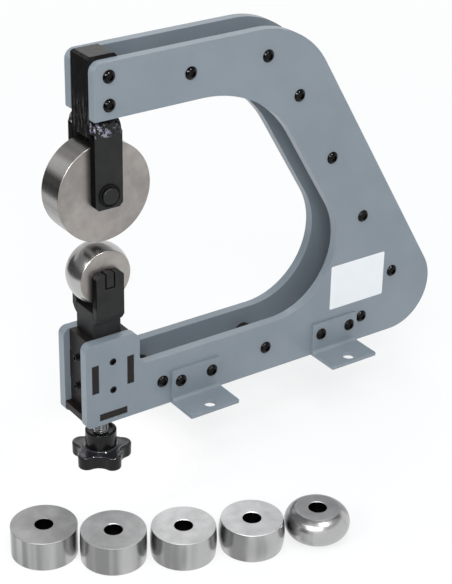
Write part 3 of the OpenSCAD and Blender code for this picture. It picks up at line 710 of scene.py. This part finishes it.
def star_radius(turn, lobes, lobe_at, lobe_r, valley_at):
    """The star's radius by angle: circles of lobe_r at the distance lobe_at, joined by hollow
    circles that touch both neighbours and come to valley_at from the axis."""
    step = 2 * pi / lobes
    reach = lobe_at * cos(step / 2)
    valley_r = (lobe_r ** 2 - lobe_at ** 2 - valley_at ** 2 + 2 * valley_at * reach) / (
        2 * (valley_at - reach - lobe_r))
    valley_c = valley_at + valley_r
    off = np.abs((turn + step / 2) % step - step / 2)
    gap = step / 2 - off
    lobe = lobe_at * np.cos(off) + np.sqrt(
        np.maximum(lobe_r ** 2 - (lobe_at * np.sin(off)) ** 2, 0))
    hollow = valley_c * np.cos(gap) - np.sqrt(
        np.maximum(valley_r ** 2 - (valley_c * np.sin(gap)) ** 2, 0))
    touch = np.array([lobe_at, 0]) + lobe_r / (lobe_r + valley_r) * (
        valley_c * np.array([cos(step / 2), sin(step / 2)]) - [lobe_at, 0])
    return np.where(off < np.arctan2(touch[1], touch[0]), lobe, hollow)


def knob_surface(name):
    """The star knob from rings in mm: (share of the star, radius or inset, height). A ring of share
    0 is round; one of share 1 is the star's outline less an inset; in between they are blended."""
    turn = np.linspace(0, 2 * pi, 300, endpoint=False)
    star = star_radius(turn - radians(54.6), lobes=5, lobe_at=18, lobe_r=7, valley_at=18.4)
    top, low, edge, foot = -33, -45, 1.6, 1.6
    hub, hub_top, inner, bore, seat, recess = 12.75, -17.5, 9.75, 6.05, -37.5, -18.7
    bend = [(1 - sin(b), 1 - cos(b)) for b in np.linspace(0, pi / 2, 6)]
    rings = [(0, 0, seat), (0, bore, seat), (0, bore, recess), (0, bore + 0.1, recess),
             (0, inner - 0.4, recess), (0, inner, recess + 0.3), (0, inner, hub_top - 0.5)]
    rings += [(0, inner + 0.5 * b, hub_top - 0.5 * a) for a, b in bend]
    rings += [(0, hub - 0.9 * a, hub_top - 0.9 * b) for a, b in bend]
    rings += [(0, hub, hub_top - 1.3), (0, hub, top + foot + 0.6)]
    rings += [(0, hub + foot * b, top + foot * a) for a, b in bend]
    rings += [(0.45, 2.2, top - 0.1), (0.8, 2.2, top - 0.1), (1, edge + 0.6, top)]
    rings += [(1, edge * a, top - edge * b) for a, b in bend]
    rings += [(1, 0, top - edge - 0.6), (1, 0.2, low + edge + 0.6)]
    rings += [(1, 0.2 + edge * a, low + edge * b) for a, b in reversed(bend)]
    rings += [(1, edge + 0.8, low), (0, hub, low), (0, 4, low), (0, 0, low)]
    share, size, height = (np.array(v)[:, None] for v in zip(*rings))
    plain = np.where(share > 0, hub + foot, size)
    points = round_axis(plain * (1 - share) + (star - size) * share, turn, height) * MM
    return sheet_of(name, points + [POST_X, 0, 0], sharp=55)


def sticker(name, x, z, width, height, face_y, material):
    """A thin blank sticker with rounded corners, standing 0.15 mm proud of the near plate: its
    outline is shrunk towards its middle by a share at each depth."""
    thick, soft = 0.15 * MM, 0.05 * MM
    shape = rounded([(x, z), (x + width, z), (x + width, z + height), (x, z + height)],
                    1.5 * MM, 6)
    middle = shape.mean(0)
    layers = []
    for shrink, depth in ((0, 0), (1, 0), (1, thick - soft), (0.9985, thick), (0.99, thick),
                          (0, thick)):
        ring = middle + (shape - middle) * shrink
        layers.append(np.insert(ring, 1, face_y - depth, 1))
    shown(name, sheet_of(name, np.stack(layers)), "frame", material)


def studio_card(name, points, tone):
    """A card that only reflections show: it darkens what bright metal and gloss mirror."""
    card = bpy.data.objects.new(name, sheet_of(name, points, wrap_columns=False))
    bpy.context.scene.collection.objects.link(card)
    plain = Finish(name)
    glow = plain.add("ShaderNodeEmission", {}, {"Color": (tone, tone, tone), "Strength": 1.0})
    plain.show(glow.outputs[0])
    card.data.materials.append(plain.material)
    for ray in ("camera", "diffuse", "transmission", "volume_scatter", "shadow"):
        setattr(card, f"visible_{ray}", False)


# Finishes of this machine

paint = painted("grey_blue_paint")
bar = black_steel("satin_black_steel")
# painted shade on the front faces of the fork arms, the ears and the slot gaps round the anvil axle
fork_bar = black_steel("fork_black_steel", front=POST_X - 12 * MM)
gap_shaded_bar = black_steel("gap_shaded_black_steel", front=POST_X - 12.5 * MM, gap_shaded=True)
guide_bar = black_steel("brown_black_steel", cast=(0.8, 0.5, 0.45))
# painted highlights: lilac glints on the fork weld beads
bead = gloss_black("black_weld", drag=(1, 1, 1), depth=0.7 * MM, shine=0.08, level=0.3,
                   painted_sheen=(340, (0.27, 0.26, 0.33), 250 * MM, 255 * MM))
# painted reflections: dark olive patches on the lower part of the head block
block_black = gloss_black("head_block_black", drag=(1, 0.9, 0.2), depth=0.3 * MM, shine=0.06,
                          level=0.22, painted_sheen=(420, (0.045, 0.043, 0.038), 262 * MM, 276 * MM))
clip_black = gloss_black("black_rings", drag=(1, 1, 1), depth=0.1 * MM, shine=0.07, level=0.1)
heads = black_oxide("black_oxide_screws")

# Nodes that keep their CAD shape, and the bars, plates and feet

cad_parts["standoffs"].data.materials.clear()
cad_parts["standoffs"].data.materials.append(bar)

for side in ("near", "far"):
    softened(f"{side}_plate_painted", f"{side}_side_plate", 0.9 * MM, paint, "frame", 4)
    for end in ("front", "rear"):
        softened(f"{side}_{end}_foot_painted", f"{side}_{end}_foot", 0.5 * MM, paint,
                 "frame")
    softened(f"{side}_fork_bar", f"{side}_fork_arm", 0.5 * MM, fork_bar, "frame")
    softened(f"{side}_ear_bar", f"{side}_ear", 0.5 * MM, gap_shaded_bar, "post")
for end in ("front", "rear", "bottom"):
    softened(f"{end}_guide_bar", f"{end}_guide_plate", 0.25 * MM, guide_bar,
             "frame", 2)
softened("head_block_bar", "head_block", 0.5 * MM, block_black, "frame")
softened("upper_axle_bar", "upper_axle", 0.15 * MM, bar, "frame", 2)
softened("circlip_pair", "axle_circlips", 0.15 * MM, clip_black, "frame", 2)
softened("anvil_axle_bar", "lower_axle", 0.3 * MM, gap_shaded_bar, "post", 2)
softened("lift_post_bar", "lift_post", 0.6 * MM, bar, "post")

# Wheels

wheel_at, anvil_at = (POST_X, 0, WHEEL_Z), (POST_X, 0, ANVIL_Z)
wheel_steel = turned("wheel_steel", wheel_at, 1, WHEEL_WIDTH, face_rough=0.34,
                     face=(0.355, 0.330, 0.312), rim=(0.32, 0.312, 0.305))
outline = wheel_outline(WHEEL_RADIUS, WHEEL_WIDTH, WHEEL_BORE, crown=0, edge=0.8 * MM)
shown("upper_wheel_turned", lathed("upper_wheel_turned", outline, wheel_at, 1, 256),
      "upper_wheel", wheel_steel, ("upper_wheel",))
anvil_steel = turned("anvil_steel", anvil_at, 1, ANVIL_WIDTH, face_rough=0.3,
                     face=(0.38, 0.355, 0.335), rim=(0.40, 0.395, 0.39), rim_rough=0.17,
                     reflection_banding=0.5)
outline = wheel_outline(ANVIL_RADIUS, ANVIL_WIDTH, ANVIL_BORE, crown=25 * MM, edge=0.4 * MM)
shown("working_anvil_turned", lathed("working_anvil_turned", outline, anvil_at, 1, 256),
      "anvil", anvil_steel, ("working_anvil",))

# Each spare anvil: its name, its crown's radius and its x and y in mm, and its face's tone, which
# is set lighter or darker from spare to spare as painted light and shade on its top
for word, crown, x, y, face in (("flat", 0, -248, -86, 0.38),
                                ("2", 160, -208.459, -119.771, 0.56),
                                ("3", 80, -162.334, -143.782, 0.66),
                                ("4", 45, -114.292, -163.682, 0.68),
                                ("5", 12.5, -64.837, -179.751, 0.40)):
    centre = (x * MM, y * MM, BENCH_Z + ANVIL_WIDTH / 2)
    steel = turned(f"spare_steel_{word}", centre, 2, ANVIL_WIDTH, face_rough=0.42,
                   face=(face, face, face), rim=(0.36, 0.36, 0.36))
    outline = wheel_outline(ANVIL_RADIUS, ANVIL_WIDTH, ANVIL_BORE, crown * MM, edge=0.4 * MM)
    shown(f"spare_{word}_turned", lathed(f"spare_{word}_turned", outline, centre, 2, 192),
          f"spare_{word}", steel, (f"spare_anvil_{word}",))

# Welds, lift screw, knob and label

fillet_welds("fork_weld_beads", "fork_welds", "frame", bead, x=-159.5 * MM, wide=24 * MM,
             out_y=13 * MM, z=245 * MM, legs=(6.4 * MM, 9.5 * MM), rough=0.11, lap=3.2 * MM)
fillet_welds("ear_weld_beads", "ear_welds", "post", bar, x=-160 * MM, wide=25 * MM,
             out_y=12.5 * MM, z=92 * MM, legs=(6 * MM, 5.9 * MM), rough=0.03, down=True)
lift_thread = thread("threaded_rod", radius=6 * MM, pitch=1.75 * MM, low=-37.5 * MM,
                     high=40 * MM, depth=1.05 * MM)
shown("threaded_rod", lift_thread, "knob", zinc("zinc_thread"), ("lift_screw",))
shown("star_knob_moulding", knob_surface("star_knob_moulding"), "knob",
      moulded("black_plastic"), ("star_knob",))
sticker("blank_label", x=66 * MM, z=38 * MM, width=57 * MM, height=40.5 * MM, face_y=-21 * MM,
        material=sticker_white("white_film"))

# Screws: places along x and z in mm, and the outer faces that the heads lie on

FRAME_SPOTS = [(-147.5, 267), (-147.5, 289), (-77, 278), (-6.5, 278), (132.352, 57.5),
               (96.57, 118.245), (60.789, 178.99), (25.007, 239.735), (-101.7, 22), (-0.2, 22),
               (101.3, 22)]
FOOT_SPOTS = [(x, 19.3) for x in (-86, -56, 56, 86)]
SET_SPOTS = [(-147.5, 29), (-147.5, 54.3)]
PLATE_FACE, FOOT_FACE, GUIDE_FACE = 21, 24, -170
KINDS = (("frame_buttons", "frame_screws", button_screw(16), FRAME_SPOTS, PLATE_FACE, 37),
         ("foot_buttons", "foot_screws", button_screw(10.5), FOOT_SPOTS, FOOT_FACE, 23),
         ("set_barrels", "set_screws", set_screw(8.2), SET_SPOTS, PLATE_FACE, 19))
for side, facing, sign in (("near", "-y", -1), ("far", "+y", 1)):
    for kind, node, shape, spots, face, twist in KINDS:
        seats = [(x, sign * face, z, twist * k) for k, (x, z) in enumerate(spots)]
        screws(f"{side}_{kind}", f"{side}_{node}", shape, seats, facing, heads)
seats = [(GUIDE_FACE, 0, z, 19 * k) for k, (x, z) in enumerate(SET_SPOTS)]
screws("front_set_barrels", "front_set_screws", set_screw(9.7), seats, "-x", heads)

# Cards for the mirrors: a dark wall past the left edge of the table, and a grey ceiling

WALL_RADIUS, WALL_MIDDLE, WALL_TOP = 0.63, 0.31, 0.62
turn = np.radians(np.linspace(-135, -14, 40))
wall = np.stack([POST_X + WALL_RADIUS * np.sin(turn), WALL_RADIUS * np.cos(turn)], 1)
dark = [np.insert(wall, 2, z, 1) for z in (BENCH_Z, WALL_MIDDLE)]
grey = [np.insert(wall[:32], 2, z, 1) for z in (WALL_MIDDLE, WALL_TOP)]
studio_card("dark_wall", np.stack(dark), 0.11)
studio_card("grey_wall", np.stack(grey), 0.42)
turn = np.linspace(0, 2 * pi, 49)
sky = np.stack([np.cos(turn), np.sin(turn), 0 * turn], 1)
sky = [sky * radius + [-0.45, -0.4, 2.05] for radius in (0.01, 3.7)]
studio_card("grey_ceiling", np.stack(sky), 0.45)
